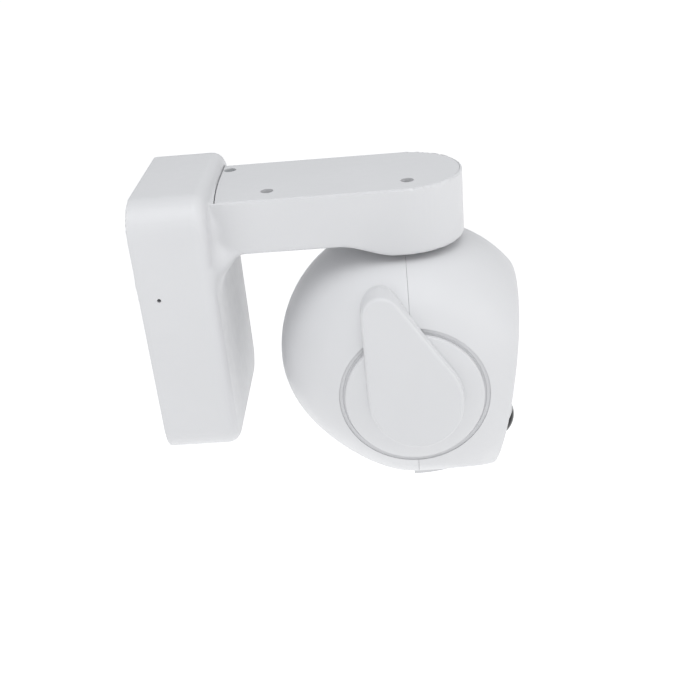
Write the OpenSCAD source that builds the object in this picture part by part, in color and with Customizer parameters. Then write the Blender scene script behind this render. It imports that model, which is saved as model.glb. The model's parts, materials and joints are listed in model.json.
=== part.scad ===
// Wall mounted baby monitor camera: a wall box with an arm, and a head that pans under the arm's drum.
// Origin: centre of the wall plate's back face. +X away from the wall, +Z up. Millimetres.

/* [Wall box] */
// Width of the wall box
box_w = 75; // [70:1:80]
// Height of the wall box
box_h = 106; // [102:1:110]
// Depth of the wall box
box_d = 29.4; // [29:0.2:30]
// Corner radius of the wall box, seen from the front
box_r = 13; // [11:1:15]
// Wall thickness of the mouldings
wall = 2.2; // [1.8:0.1:2.4]

/* [Arm] */
// Width of the arm, which is also the drum's diameter
arm_w = 48; // [46:1:50]
// Height of the arm's flat top above the middle of the wall box
arm_top = 48; // [46:1:50]
// Height of the arm
arm_h = 21; // [20:0.5:22]
// Height of the drum at the arm's end
drum_h = 26; // [25.5:0.5:27]
// Distance from the wall to the pan axis
pan_x = 101; // [99:1:104]

/* [Head] */
// Height of the tilt axis, from the middle of the wall box
head_z = -27.5; // [-28:0.5:-27]
// Head's radius towards the wall
head_rear = 54.2; // [53.8:0.2:54.8]
// Head's radius towards each side
head_side = 55.3; // [54.9:0.2:55.9]
// Head's radius downwards
head_down = 52.4; // [52:0.1:53]
// Distance from the tilt axis to the head's flat front
head_front = 38.8; // [38.6:0.1:39.4]
// Lean of the flat front, in degrees
front_lean = 9; // [8:0.5:10]
// Half width of the slot that the lens unit tilts in
slot_half = 17.6; // [17.4:0.1:18.5]

/* [Lens unit] */
// Tilt of the lens below the horizontal at rest, in degrees
lens_down = 49; // [46:1:51]
// Radius of the lens unit's drum
lens_r = 40; // [39.6:0.1:40.2]
// Radius of the raised block that carries the lens
band_r = 54.5; // [54:0.1:55]
// Radius of the front dome over the lens
dome_r = 10; // [9.4:0.1:10.2]

/* [Antenna] */
// Radius of the round disc that the antenna turns with
disc_r = 27; // [26:0.2:27.4]
// Radius of the opening round that disc
disc_hole_r = 28.9; // [28.6:0.1:29.2]
// Lean of the antenna towards the wall, in degrees
antenna_lean = 18.5; // [0:0.5:30]
// Distance from the antenna's large round end to its tip centre
antenna_len = 34; // [32:0.5:36]

/* [Hidden] */
$fn = 64;

white = [0.90, 0.90, 0.89];
grey = [0.62, 0.63, 0.64];
dark = [0.10, 0.10, 0.11];
steel = [0.72, 0.73, 0.75];
board_green = [0.10, 0.38, 0.22];
nylon = [0.86, 0.84, 0.76];

eps = 0.01;
// wall side
plate_t = 2.4;
plate_w = box_w - 9;
plate_h = box_h - 10;
rim_x = 0.4;
cover_x = 4;
cover_t = 2;
wall_hole_r = 2.25;
wall_hole_gap = 60;
cover_screw_y = box_w / 2 - 9;
cover_screw_z = box_h / 2 - 12;
mic_x = 8.3;
mic_z = 16.6;
inlet_x = 12.5;
// arm
arm_y = arm_w / 2;
arm_bottom = arm_top - arm_h;
drum_bottom = arm_top - drum_h;
arm_floor = arm_bottom + wall;
drum_floor = drum_bottom + wall;
lip = 0.8;
cover_plate_t = 2;
cover_start = box_d + 1;
cover_boss_z = arm_top - 5.5;
root_fillet = 12;
side_fillet = 6;
// x and y of the arm cover's screws; the last one is under the cap
screw_spots = [[50.5, -13.3], [pan_x + 2.5, -13], [32.8, 16.7]];
// pan drive
pan_module = 0.6;
pan_teeth = 34;
pan_pinion_teeth = 12;
pan_gap = (pan_teeth + pan_pinion_teeth) * pan_module / 2;
hub_r = 6.5;
hub_bore_r = 4.6;
bush_r = 8.5;
gear_z = drum_bottom + 8.5;
gear_t = 3.5;
hub_top = gear_z + gear_t + 1.6;
motor_r = 10;
head_top = drum_bottom - 1.5;
flange_r = 15;
flange_t = 5;
hub_screw_r = 11.5;
running = 0.06;
// head
shell_t = 2.4;
frame_t = 2;
frame_near = -20.2;
frame_far = 21.2;
frame_r = 48.2;
bridge_t = 2.4;
bridge_z = head_top - flange_t - bridge_t;
form_rings = 20;
form_steps = 48;
// angles of the slot's ends about the tilt axis, from straight ahead
slot_up = 20;
slot_back = -142;
// y and height above the tilt axis of the pegs that join the half shells
shell_spots = [[-33.8, 35], [33.8, 35], [-33.8, -35], [33.8, -35]];
peg_r = 1.4;
tilt_module = 0.8;
tilt_teeth = 50;
tilt_pinion_teeth = 12;
tilt_gap = (tilt_teeth + tilt_pinion_teeth) * tilt_module / 2 + 0.1;
tilt_motor_angle = 150;
tilt_motor_x = pan_x + tilt_gap * cos(tilt_motor_angle);
tilt_motor_z = head_z + tilt_gap * sin(tilt_motor_angle);
trunnion_r = 4;
lens_half = 16.8;
block_angle = 43;
block_top = 11.6;
block_corner_r = 11;
flat_x = 49.9;
bezel_r = 11.2;
dome_sphere_r = 10.6;
dome_set_back = 0.8;
// spherical underside of the antenna and face of its disc
dome_r_big = 58.6;
dome_apex = 52.6;
dome_flat = 50.6;
disc_rim_y = sqrt(pow(dome_r_big - 0.3, 2) - pow(disc_hole_r, 2)) + dome_apex - dome_r_big;
seat_y = -43.5;
antenna_big_r = 17.8;
antenna_tip_r = 7.6;
// the antenna's large end lies a little in front of and above the tilt axis
antenna_ahead = 0.4;
antenna_up = 2.6;
antenna_face = 53;
antenna_face_tilt = 11.5;

// Rounded rectangle across the wall box's front view
module rounded_plate(w, h, r, t) {
    rotate([90, 0, 90])
        linear_extrude(t) {
            square([w - 2 * r, h], center = true);
            square([w, h - 2 * r], center = true);
            for (y = [-1, 1], z = [-1, 1])
                translate([y * (w / 2 - r), z * (h / 2 - r)])
                    circle(r);
        }
}

// Everything behind the box's sloping front face, pulled back by t
module behind_box_front(t) {
    translate([box_d - t - 80, -80, -80])
        cube([80, 160, 160]);
}

// Arm outline seen from above: straight sides and a round end
module arm_outline(half, start) {
    translate([start, -half])
        square([pan_x - start, 2 * half]);
    translate([pan_x, 0])
        circle(half);
}

module prism(z0, z1) {
    translate([0, 0, z0])
        linear_extrude(z1 - z0)
            children();
}

// A pin or hole along +Y from y0 to y1, at x and z
module y_pin(x, z, y0, y1, r) {
    translate([x, y0, z])
        rotate([-90, 0, 0])
            cylinder(h = y1 - y0, r = r);
}

module z_pin(x, y, z0, z1, r) {
    translate([x, y, z0])
        cylinder(h = z1 - z0, r = r);
}

module x_pin(y, z, x0, x1, r) {
    translate([x0, y, z])
        rotate([0, 90, 0])
            cylinder(h = x1 - x0, r = r);
}

// Straight sided gear teeth round a disc
function gear_points(teeth, m) = [
    for (i = [0 : teeth - 1], c = [[-0.36, -1.05], [-0.17, 0.75], [0.17, 0.75], [0.36, -1.05]])
        let (a = 360 * (i + c[0]) / teeth, r = m * (teeth / 2 + c[1]))
            [r * cos(a), r * sin(a)]
];

module gear(teeth, m, t, bore) {
    difference() {
        linear_extrude(t)
            polygon(gear_points(teeth, m));
        translate([0, 0, -1])
            cylinder(h = t + 2, r = bore);
    }
}

// Ball of the head: one over the distance to its surface in the direction u, when smaller by t
function ramp(v) = let (s = min(1, max(0, v))) s * s * (3 - 2 * s);
function jaw(u) = let (l = norm([u[0], u[2]]) + 1e-9) u[0] > 0 ? ramp(-u[2] / l / 0.75) : 0;
function heel(u) = let (l = norm([u[0], u[2]]) + 1e-9) 1 + 0.1 * ramp(-u[2] / l) * ramp(-u[0] / l);
// the sides keep just inside the domes of the round discs, and run on outwards at the jaw
function side_gauge(u, t) =
    let (
        off = dome_r_big - dome_apex + 18 * jaw(u),
        r = norm([disc_hole_r, disc_rim_y + off]) - t
    )
    1 / (sqrt(pow(off * u[1], 2) + r * r - off * off) - off * abs(u[1]));
function gauge(u, t) =
    let (flank = norm([sqrt(1 - 0.9 * jaw(u)) * u[0] / (head_rear - t), u[2] / (head_down - t)]))
    max(norm([heel(u) * flank, u[1] / (head_side - t)]), side_gauge(u, t));

function form_dir(i, j) =
    let (a = -90 + 180 * i / form_rings, b = 360 * j / form_steps)
    [cos(a) * cos(b), sin(a), cos(a) * sin(b)];

// Ball about the tilt axis: rings round Y, with a point at each side
module ball_form(t) {
    ring_points = [
        for (i = [1 : form_rings - 1], j = [0 : form_steps - 1])
            form_dir(i, j) / gauge(form_dir(i, j), t)
    ];
    near_pole = [0, -1 / gauge([0, -1, 0], t), 0];
    far_pole = [0, 1 / gauge([0, 1, 0], t), 0];
    count = len(ring_points);
    last = (form_rings - 2) * form_steps;
    sides = [
        for (i = [0 : form_rings - 3], j = [0 : form_steps - 1])
            let (a = i * form_steps + j, b = i * form_steps + (j + 1) % form_steps)
                [[b, a + form_steps, a], [b + form_steps, a + form_steps, b]]
    ];
    caps = [
        for (j = [0 : form_steps - 1])
            let (n = (j + 1) % form_steps)
                [[count, n, j], [count + 1, last + j, last + n]]
    ];
    polyhedron(
        concat(ring_points, [near_pole, far_pole]),
        [for (pair = concat(sides, caps), f = pair) f]
    );
}

// Closed head form, smaller by t: the ball with a leaning flat front and a flat top
module head_form(t) {
    translate([pan_x, 0, head_z])
        intersection() {
            ball_form(t);
            rotate([0, front_lean, 0])
                translate([-120, -100, -120])
                    cube([120 + head_front - t, 200, 240]);
            translate([-120, -100, -120])
                cube([240, 200, 120 + head_top - head_z - t]);
        }
}

// Corners of a sector of a circle between two angles
function sector_points(r, a0, a1) =
    concat([[0, 0]], [for (i = [0 : 9]) let (a = a0 + (a1 - a0) * i / 9) r * [cos(a), sin(a)]]);

// Wedge about the tilt axis between two angles, for the lens slot
module slot_wedge() {
    translate([pan_x, slot_half, head_z])
        rotate([90, 0, 0])
            linear_extrude(2 * slot_half)
                polygon(sector_points(90, slot_back, slot_up));
}

module head_shell() {
    difference() {
        head_form(0);
        head_form(shell_t);
        slot_wedge();
        y_pin(pan_x, head_z, -70, -20, disc_hole_r);
        y_pin(pan_x, head_z, 20, 70, disc_hole_r);
        z_pin(pan_x, 0, 0, 40, flange_r + 0.3);
    }
}

// ---------------------------------------------------------------- wall side

module wall_plate() {
    color(steel)
        difference() {
            union() {
                rounded_plate(plate_w, plate_h, box_r - 3, plate_t);
                translate([0, -8, -plate_h / 2 + 1])
                    cube([9, 16, 2.4]);
            }
            for (z = [-1, 1])
                x_pin(0, z * wall_hole_gap / 2, -1, plate_t + 1, wall_hole_r);
            z_pin(6, 0, -60, -40, 1.3);
        }
}

module lock_screw() {
    color(steel) {
        z_pin(6, 0, -box_h / 2 + 0.4, -box_h / 2 + wall, 2.4);
        z_pin(6, 0, -box_h / 2 + wall, -plate_h / 2 + 5, 1.2);
    }
}

module box_bosses() {
    for (y = [-1, 1], z = [-1, 1])
        x_pin(y * cover_screw_y, z * cover_screw_z, cover_x + cover_t, box_d, 3.2);
}

module main_housing() {
    color(white)
        difference() {
            union() {
                difference() {
                    intersection() {
                        translate([rim_x, 0, 0])
                            rounded_plate(box_w, box_h, box_r, 32);
                        behind_box_front(0);
                    }
                    intersection() {
                        translate([-1, 0, 0])
                            rounded_plate(box_w - 2 * wall, box_h - 2 * wall, box_r - wall, 40);
                        behind_box_front(wall);
                    }
                }
                intersection() {
                    box_bosses();
                    behind_box_front(1);
                }
                difference() {
                    union() {
                        prism(arm_bottom, arm_top)
                            arm_outline(arm_y, box_d - 1);
                        z_pin(pan_x, 0, drum_bottom, arm_top, arm_y);
                        arm_root_fillet();
                        arm_side_fillets();
                    }
                    prism(arm_floor, arm_top + 1)
                        arm_outline(arm_y - wall, box_d - 0.6);
                    z_pin(pan_x, 0, drum_floor, arm_top, arm_y - wall);
                    prism(arm_top - cover_plate_t, arm_top + 1)
                        arm_outline(arm_y - lip, cover_start);
                }
                arm_bosses();
                z_pin(pan_x, 0, drum_bottom, gear_z - 1.6, bush_r + 1.7);
            }
            // way from the box into the arm
            translate([box_d - 10, -15, arm_floor + 1])
                cube([20, 29.2, 11]);
            z_pin(pan_x, 0, drum_bottom - 1, gear_z, bush_r + 0.05);
            for (s = screw_spots)
                z_pin(s[0], s[1], cover_boss_z - 9, arm_top + 1, 1.1);
            for (y = [-1, 1], z = [-1, 1])
                x_pin(y * cover_screw_y, z * cover_screw_z, 5, 15, 1.25);
            y_pin(mic_x, mic_z, -box_w / 2 - 1, -box_w / 2 + wall + 1, 0.8);
            // inlet opening and lock screw hole in the box's floor
            translate([inlet_x - 1.7, -20 - 4.6, -box_h / 2 - 1])
                cube([3.4, 9.2, 6]);
            z_pin(6, 0, -box_h / 2 - 1, -box_h / 2 + wall + 1, 2.6);
        }
}

module arm_root_fillet() {
    x0 = box_d - 0.5;
    difference() {
        translate([x0, -arm_y, arm_bottom - root_fillet])
            cube([root_fillet + box_d - x0, arm_w, root_fillet + eps]);
        y_pin(box_d + root_fillet, arm_bottom - root_fillet, -arm_y - 1, arm_y + 1, root_fillet);
    }
}

module arm_side_fillets() {
    x0 = box_d - 0.5;
    for (s = [-1, 1])
        difference() {
            translate([x0, s > 0 ? arm_y - eps : -arm_y - side_fillet, arm_bottom])
                cube([side_fillet + box_d - x0, side_fillet + eps, arm_h]);
            z_pin(box_d + side_fillet, s * (arm_y + side_fillet), 0, 60, side_fillet);
        }
}

module arm_bosses() {
    for (s = screw_spots)
        z_pin(s[0], s[1], s[0] > 90 ? drum_floor - 0.5 : arm_floor - 0.5, cover_boss_z - 0.1, 2.3);
    for (y = [-1, 1])
        z_pin(pan_x - pan_gap, y * 15.2, arm_floor - 0.5, gear_z + gear_t + 1.6, 2.2);
}

module rear_cover() {
    color(white)
        difference() {
            translate([cover_x, 0, 0])
                rounded_plate(box_w - 2 * wall - 0.6, box_h - 2 * wall - 0.6, box_r - wall - 0.3, cover_t);
            for (y = [-1, 1], z = [-1, 1])
                x_pin(y * cover_screw_y, z * cover_screw_z, 0, 9, 1.4);
            // clear of the plate's lock tab and the rim
            translate([0, -9, -box_h / 2])
                cube([9, 18, 11]);
        }
}

module rear_cover_screws() {
    color(steel)
        for (y = [-1, 1], z = [-1, 1]) {
            x_pin(y * cover_screw_y, z * cover_screw_z, cover_x - 1.3, cover_x, 2.5);
            x_pin(y * cover_screw_y, z * cover_screw_z, cover_x, 14, 1.2);
        }
}

module arm_cover() {
    color(white)
        difference() {
            union() {
                prism(arm_top - cover_plate_t, arm_top)
                    arm_outline(arm_y - lip - 0.2, cover_start + 0.2);
                for (s = screw_spots)
                    z_pin(s[0], s[1], cover_boss_z, arm_top - 1, 3.3);
            }
            for (s = screw_spots) {
                z_pin(s[0], s[1], cover_boss_z + 1, arm_top + 1, 2.5);
                z_pin(s[0], s[1], cover_boss_z - 1, arm_top, 1.3);
            }
        }
}

module arm_cover_screws() {
    color(steel)
        for (s = screw_spots)
            difference() {
                union() {
                    z_pin(s[0], s[1], cover_boss_z + 1, cover_boss_z + 2.7, 2.3);
                    z_pin(s[0], s[1], cover_boss_z - 7, cover_boss_z + 1, 1.0);
                }
                for (a = [0, 90])
                    translate([s[0], s[1], cover_boss_z + 2.7])
                        rotate([0, 0, a])
                            cube([2.6, 0.6, 1.6], center = true);
            }
}

module screw_cap() {
    s = screw_spots[2];
    color(grey)
        z_pin(s[0], s[1], arm_top - 2.4, arm_top - 0.2, 2.4);
}

module main_board() {
    color(board_green)
        translate([16, -27, -37])
            cube([1.6, 54, 71]);
}

module power_inlet() {
    color(grey)
        difference() {
            translate([inlet_x - 1.6, -20 - 4.45, -box_h / 2 + 0.8])
                cube([3.2, 8.9, 9]);
            translate([inlet_x - 1.25, -20 - 4.1, -box_h / 2])
                cube([2.5, 8.2, 7]);
        }
}

module speaker() {
    color(dark) {
        x_pin(8, -22, 8.4, 11.4, 14);
        x_pin(8, -22, 11.4, 15.6, 8);
    }
}

module microphone() {
    color(dark)
        y_pin(mic_x, mic_z, -box_w / 2 + wall + 0.1, -box_w / 2 + wall + 2.6, 1.9);
}

module flex_cable() {
    ribbon_z = cover_boss_z - 4;
    color([0.75, 0.55, 0.25]) {
        translate([18, 10.6, ribbon_z])
            cube([pan_x - 14, 3.4, 0.5]);
        translate([pan_x, -3, ribbon_z])
            cube([4, 17, 0.5]);
        translate([pan_x, -2.5, head_top - 4])
            cube([0.6, 5, ribbon_z - head_top + 4.2]);
    }
}

// ---------------------------------------------------------------- pan drive

module pan_motor() {
    motor_z = gear_z + gear_t + 1.7;
    color(steel) {
        z_pin(pan_x - pan_gap, 0, motor_z + 0.8, cover_boss_z + 3, motor_r);
        difference() {
            translate([pan_x - pan_gap - 2.6, -17.6, motor_z])
                cube([5.2, 35.2, 0.8]);
            translate([pan_x - pan_gap, 0, motor_z - 1])
                cylinder(h = 1.5, r = 2);
        }
        z_pin(pan_x - pan_gap, 0, gear_z - 0.5, motor_z + 1, 0.98);
    }
}

module pan_pinion() {
    color(nylon)
        translate([pan_x - pan_gap, 0, gear_z])
            rotate([0, 0, 180 / pan_pinion_teeth])
                gear(pan_pinion_teeth, pan_module, gear_t, 1.02);
}

module pan_gear() {
    color(nylon)
        translate([pan_x, 0, gear_z])
            gear(pan_teeth, pan_module, gear_t, hub_r + 0.03);
}

module pan_bush() {
    color(nylon)
        difference() {
            union() {
                z_pin(pan_x, 0, drum_bottom, gear_z - 1, bush_r);
                z_pin(pan_x, 0, drum_bottom - 0.7, drum_bottom, bush_r + 3);
            }
            z_pin(pan_x, 0, 0, 60, hub_r + running);
        }
}

module pan_hub() {
    color(white)
        difference() {
            union() {
                z_pin(pan_x, 0, head_top - flange_t, head_top, flange_r);
                z_pin(pan_x, 0, head_top - flange_t, head_top - 4, flange_r + 2);
                z_pin(pan_x, 0, head_top, hub_top, hub_r);
            }
            z_pin(pan_x, 0, 0, 60, hub_bore_r);
            hub_screw_places()
                z_pin(0, 0, 0, head_top - 1.5, 1.05);
            // groove for the clip
            difference() {
                z_pin(pan_x, 0, gear_z + gear_t + 0.1, gear_z + gear_t + 0.9, 9);
                z_pin(pan_x, 0, gear_z, hub_top + 1, hub_r - 0.8);
            }
        }
}

module pan_clip() {
    color(steel)
        difference() {
            z_pin(pan_x, 0, gear_z + gear_t + 0.15, gear_z + gear_t + 0.85, hub_r + 1.6);
            z_pin(pan_x, 0, 0, 60, hub_r - 0.75);
            translate([pan_x, -2.2, 0])
                cube([20, 4.4, 60]);
        }
}

module hub_screw_places() {
    for (a = [30, 150, 270])
        translate([pan_x + hub_screw_r * cos(a), hub_screw_r * sin(a), 0])
            children();
}

module hub_screws() {
    color(steel)
        hub_screw_places() {
            z_pin(0, 0, bridge_z + 0.1, bridge_z + 1.3, 1.9);
            z_pin(0, 0, bridge_z + 1.3, head_top - 2, 1.0);
        }
}

// ---------------------------------------------------------------- head

module head_rear_shell() {
    color(white)
        difference() {
            union() {
                intersection() {
                    head_shell();
                    translate([pan_x - 80, -80, -100])
                        cube([80, 160, 160]);
                }
                shell_bosses(pan_x - 8.5, pan_x);
            }
            for (s = shell_spots)
                x_pin(s[0], head_z + s[1], pan_x - 6.6, pan_x + 1, peg_r + 0.05);
        }
}

module shell_bosses(x0, x1) {
    for (s = shell_spots)
        x_pin(s[0], head_z + s[1], x0, x1, 2.8);
}

module head_front_shell() {
    color(white) {
        intersection() {
            head_shell();
            translate([pan_x, -80, -100])
                cube([80, 160, 160]);
        }
        shell_bosses(pan_x, pan_x + 7);
        for (s = shell_spots)
            x_pin(s[0], head_z + s[1], pan_x - 6, pan_x + 6, peg_r);
    }
}

module frame_side(y) {
    y_pin(pan_x, head_z, y, y + frame_t, 30);
    translate([pan_x - 14, y, head_z])
        cube([28, frame_t, bridge_z + bridge_t - head_z]);
}

module head_frame() {
    color(grey)
        difference() {
            intersection() {
                union() {
                    frame_side(frame_near);
                    frame_side(frame_far);
                    translate([pan_x - 14, frame_near, bridge_z])
                        cube([28, frame_far + frame_t - frame_near, bridge_t]);
                }
                translate([pan_x, 0, head_z])
                    sphere(frame_r, $fn = 96);
            }
            y_pin(pan_x, head_z, -30, 30, trunnion_r + 2.05);
            z_pin(pan_x, 0, 0, 40, hub_bore_r);
            hub_screw_places() {
                z_pin(0, 0, 0, 40, 1.2);
                z_pin(0, 0, 0, bridge_z + 1.3, 2);
            }
            y_pin(tilt_motor_x, tilt_motor_z, 0, 40, 1.6);
        }
}

module head_board() {
    color(board_green)
        translate([pan_x - 43.4, -19, head_z - 13])
            cube([1.6, 38, 27]);
}

module tilt_motor() {
    color(steel) {
        y_pin(tilt_motor_x, tilt_motor_z, frame_far + frame_t, frame_far + frame_t + 11, 9);
        y_pin(tilt_motor_x, tilt_motor_z, lens_half + 0.5, frame_far + frame_t + 1, 0.98);
    }
}

module tilt_pinion() {
    color(nylon)
        translate([tilt_motor_x, lens_half + 2.7, tilt_motor_z])
            rotate([90, 0, 0])
                rotate([0, 0, tilt_motor_angle])
                    rotate([0, 0, 180 / tilt_pinion_teeth])
                        gear(tilt_pinion_teeth, tilt_module, 2.2, 1.02);
}

module tilt_bushes() {
    color(nylon)
        for (y = [frame_near, frame_far])
            difference() {
                y_pin(pan_x, head_z, y - 0.3, y + frame_t + 0.3, trunnion_r + 2);
                y_pin(pan_x, head_z, y - 1, y + frame_t + 1, trunnion_r + running);
            }
}

// Spherical dome about the tilt axis, on the side given by s, smaller by t
module side_dome(s, t) {
    translate([pan_x, -s * (dome_apex - dome_r_big), head_z])
        rotate([90, 0, 0])
            sphere(dome_r_big - t, $fn = 96);
}

module side_cap() {
    color(white)
        difference() {
            intersection() {
                y_pin(pan_x, head_z, -seat_y - 4.7, 60, disc_r);
                side_dome(-1, 0);
            }
            intersection() {
                y_pin(pan_x, head_z, 0, 60, disc_r - 2);
                side_dome(-1, 2.2);
                y_pin(pan_x, head_z, 0, 60, 40);
            }
        }
    color(white)
        difference() {
            y_pin(pan_x, head_z, -seat_y - 4.7, -seat_y - 3.5, 30.4);
            y_pin(pan_x, head_z, 0, 60, disc_r - 2);
        }
}

module antenna_seat() {
    color(grey)
        difference() {
            union() {
                y_pin(pan_x, head_z, seat_y, seat_y + 4.7, disc_hole_r - 0.2);
                y_pin(pan_x, head_z, seat_y + 3.5, seat_y + 4.7, 30.4);
            }
            y_pin(pan_x, head_z, -60, -20, 3 + running);
            y_pin(pan_x, head_z, seat_y + 2.8, seat_y + 10, 24);
        }
}

module antenna_disc() {
    color(white)
        difference() {
            union() {
                intersection() {
                    y_pin(pan_x, head_z, -dome_flat, seat_y - 0.6, disc_r);
                    side_dome(1, 0);
                }
                y_pin(pan_x, head_z, -48, seat_y + 4.4, 3);
            }
            difference() {
                intersection() {
                    y_pin(pan_x, head_z, -60, seat_y, disc_r - 2);
                    side_dome(1, 2.2);
                }
                y_pin(pan_x, head_z, -60, seat_y + 5, 5.5);
            }
            y_pin(pan_x, head_z, -47, seat_y + 5, 1.0);
        }
}

// Outline of the antenna, seen from the side: a large round end and a small tip
module antenna_outline(grow) {
    hull() {
        circle(antenna_big_r + grow, $fn = 72);
        translate([0, antenna_len])
            circle(antenna_tip_r + grow, $fn = 48);
    }
}

// Puts a child drawn with +Y along the antenna and +Z outwards on the head's side
module antenna_place() {
    translate([pan_x + antenna_ahead, 0, head_z + antenna_up])
        rotate([0, -antenna_lean, 0])
            rotate([90, 0, 0])
                children();
}

module antenna_paddle() {
    color(white)
        difference() {
            antenna_place()
                linear_extrude(60)
                    antenna_outline(0);
            intersection() {
                side_dome(1, -0.02);
                y_pin(pan_x, head_z, -dome_flat - 0.02, 0, 60);
            }
            antenna_place()
                rotate([-antenna_face_tilt, 0, 0])
                    translate([-40, -40, antenna_face])
                        cube([80, 120, 20]);
            antenna_place()
                antenna_slot(0.3);
        }
}

// Pocket for the antenna's metal strip, larger by g
module antenna_slot(g) {
    rotate([-antenna_face_tilt, 0, 0])
        translate([-3 - g, 16 - g, antenna_face - 2.4 - g])
            cube([6 + 2 * g, 11.5 + 2 * g, 0.8 + 2 * g]);
}

module antenna_element() {
    color([0.80, 0.50, 0.28])
        antenna_place()
            antenna_slot(0);
}

module antenna_washer() {
    color(steel)
        difference() {
            y_pin(pan_x, head_z, seat_y + 3, seat_y + 4.2, 6);
            y_pin(pan_x, head_z, -60, -20, 3.1);
        }
}

module antenna_screw() {
    color(steel) {
        y_pin(pan_x, head_z, seat_y + 4.5, seat_y + 6, 4.2);
        y_pin(pan_x, head_z, seat_y - 3, seat_y + 4.5, 0.95);
    }
}

// ---------------------------------------------------------------- lens unit

// Turns a child drawn along +X to the lens's own direction
module lens_place() {
    translate([pan_x, 0, head_z])
        rotate([0, lens_down, 0])
            children();
}

// Side view of the lens unit, smaller by t: a drum with a raised block that has a flat face
module lens_profile(t) {
    reach = 80 * [cos(block_angle), -sin(block_angle)];
    circle(lens_r - t, $fn = 96);
    intersection() {
        circle(band_r - t, $fn = 96);
        translate([0, -t])
            polygon([[0, t], reach + [0, 2 * t], [flat_x, reach[1]], [flat_x - t, block_top], [0, block_top]]);
    }
}

module lens_body(t) {
    rotate([90, 0, 0])
        translate([0, 0, -lens_half + t])
            linear_extrude(2 * (lens_half - t))
                lens_profile(t);
}

// Rounds the two upper corners of the lens block
module block_corners() {
    for (s = [-1, 1])
        difference() {
            translate([lens_r + 0.1, s > 0 ? lens_half - block_corner_r : -lens_half - 1, block_top - block_corner_r])
                cube([20, block_corner_r + 1, block_corner_r + 1]);
            x_pin(s * (lens_half - block_corner_r), block_top - block_corner_r, lens_r, 70, block_corner_r);
        }
}

module lens_housing() {
    color(white)
        lens_place()
            difference() {
                union() {
                    difference() {
                        lens_body(0);
                        lens_body(2);
                        block_corners();
                    }
                    y_pin(0, 0, -lens_half - 4.2, -lens_half + 1, trunnion_r);
                    y_pin(0, 0, lens_half - 1, lens_half + 7, trunnion_r);
                }
                x_pin(0, 0, 42, 60, dome_r + 0.1);
                translate([flat_x - 1.2, -12.1, -21.1])
                    cube([5, 24.2, 8.6]);
                translate([42, -10.5, -20])
                    cube([20, 21, 6.4]);
                x_pin(13.2, -9.5, flat_x - 1.1, flat_x + 5, 1.35);
            }
}

module tilt_gear() {
    color(nylon)
        translate([pan_x, lens_half + 2.8, head_z])
            rotate([90, 0, 0])
                rotate([0, 0, tilt_motor_angle])
                    gear(tilt_teeth, tilt_module, 2.8, trunnion_r + 0.03);
}

module lens_bezel() {
    color(dark)
        lens_place()
            difference() {
                x_pin(0, 0, flat_x, flat_x + 1.4, bezel_r);
                x_pin(0, 0, 30, 60, dome_r + 0.1);
            }
}

module lens_dome() {
    color(dark)
        lens_place()
            intersection() {
                x_pin(0, 0, flat_x - 1, flat_x + 20, dome_r);
                difference() {
                    translate([flat_x - dome_set_back, 0, 0])
                        rotate([0, 90, 0])
                            sphere(dome_sphere_r, $fn = 64);
                    translate([flat_x - dome_set_back, 0, 0])
                        rotate([0, 90, 0])
                            sphere(dome_sphere_r - 1, $fn = 64);
                }
            }
}

module lens_barrel() {
    color(dark)
        lens_place()
            difference() {
                x_pin(0, 0, 28, flat_x - 1.5, 7);
                x_pin(0, 0, 30, flat_x, 5);
            }
}

module lens_glass() {
    color([0.45, 0.55, 0.65])
        lens_place()
            intersection() {
                x_pin(0, 0, 42.6, flat_x - 1.6, 4.95);
                translate([38.6, 0, 0])
                    sphere(9, $fn = 48);
            }
}

module sensor_board() {
    color(board_green)
        lens_place()
            translate([26.2, -13, -13])
                cube([1.6, 26, 26]);
}

module ir_window() {
    color(dark)
        lens_place()
            translate([flat_x - 1.1, -12, -21])
                cube([1.5, 24, 8.4]);
}

module ir_leds() {
    color(steel)
        lens_place()
            for (y = [-7.5, -2.5, 2.5, 7.5])
                translate([0, y, -16.8]) {
                    x_pin(0, 0, 44.6, flat_x - 1.3, 2);
                    x_pin(0, 0, 43.4, 44.6, 2.4);
                }
}

module light_sensor() {
    color(grey)
        lens_place()
            translate([flat_x, 13.2, -9.5])
                x_pin(0, 0, -1, 0.5, 1.3);
}

wall_plate();
lock_screw();
main_housing();
rear_cover();
rear_cover_screws();
arm_cover();
arm_cover_screws();
screw_cap();
main_board();
power_inlet();
speaker();
microphone();
flex_cable();
pan_motor();
pan_pinion();
pan_gear();
pan_bush();
pan_hub();
pan_clip();
hub_screws();
head_rear_shell();
head_front_shell();
head_frame();
head_board();
tilt_motor();
tilt_pinion();
tilt_bushes();
side_cap();
antenna_seat();
antenna_disc();
antenna_paddle();
antenna_element();
antenna_washer();
antenna_screw();
tilt_gear();
lens_housing();
lens_bezel();
lens_dome();
lens_barrel();
lens_glass();
sensor_board();
ir_window();
ir_leds();
light_sensor();
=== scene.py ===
"""Looks of a wall mounted baby monitor camera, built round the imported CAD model."""
import json
import math
from itertools import product

import bmesh
import bpy
import numpy as np
from mathutils import Matrix, Vector


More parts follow.
